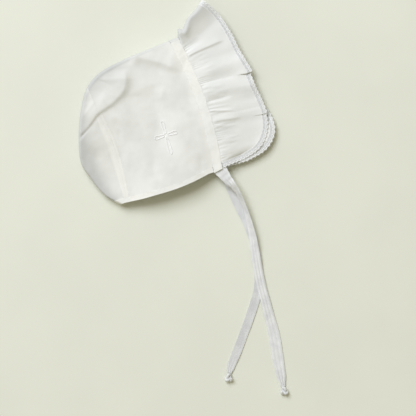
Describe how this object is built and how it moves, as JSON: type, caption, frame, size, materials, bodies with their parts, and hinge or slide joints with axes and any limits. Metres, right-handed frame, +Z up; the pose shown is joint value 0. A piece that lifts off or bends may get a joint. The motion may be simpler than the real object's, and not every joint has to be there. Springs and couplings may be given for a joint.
{
  "type": "baby bonnet",
  "caption": "White cotton baby bonnet laid flat on its side, with a gathered lace-edged ruffle round the face, ribbon ties with knotted ends and an embroidered cross.",
  "frame": {"origin": "on the surface under the middle of the whole bonnet as it lies, ties included", "axes": "+X towards the face opening, +Y towards the top of the head, +Z up from the surface that it lies on"},
  "size_m": [0.2176, 0.4462, 0.0309],
  "materials": {
    "cotton": "thin plain-weave white cotton batiste, matt, slightly sheer",
    "doubled_cotton": "the same cotton doubled over and stitched, so brighter and less sheer",
    "lace": "white cotton thread lace, narrow, with a scalloped edge",
    "tape": "soft white folded cotton tape, matt",
    "embroidery": "white satin-stitch thread with a soft sheen along the stitches"
  },
  "bodies": {
    "root": {"crown": "cotton", "back_panel": "cotton", "front_band": "doubled_cotton", "neck_hem": "doubled_cotton", "ruffle": "cotton", "ruffle_lace": "lace", "tie_upper": "tape", "tie_upper_knot": "tape", "tie_lower": "tape", "tie_lower_knot": "tape", "embroidered_cross": "embroidery"}
  },
  "joints": []
}
